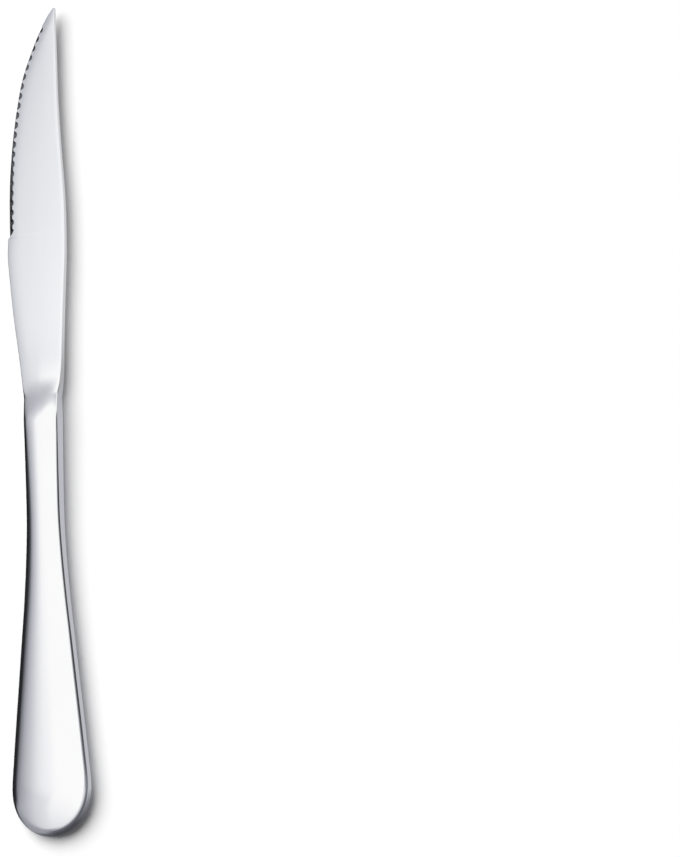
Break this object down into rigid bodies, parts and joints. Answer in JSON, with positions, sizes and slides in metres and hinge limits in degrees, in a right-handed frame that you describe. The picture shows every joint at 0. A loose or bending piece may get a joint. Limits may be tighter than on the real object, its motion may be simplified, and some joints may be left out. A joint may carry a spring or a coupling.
{
  "type": "steak knife",
  "caption": "Stainless steak knife: curved blade with a scalloped edge, ramped bolster and a rounded hollow handle of pressed half shells.",
  "frame": {"origin": "under the middle of the knife's box, on the plane that its back lies on", "axes": "+Y along the knife to the tip, +X to the spine's side, +Z out of the toothed front face"},
  "size_m": [0.022, 0.2348, 0.0066],
  "materials": {
    "satin_blade": "fine satin along the blade",
    "polished_handle": "mirror polished stainless steel",
    "set_cement": "rough set bonding cement"
  },
  "bodies": {
    "root": {"blade": "satin_blade", "handle_front_shell": "polished_handle", "handle_back_shell": "polished_handle", "tang_cement": "set_cement"}
  },
  "joints": []
}
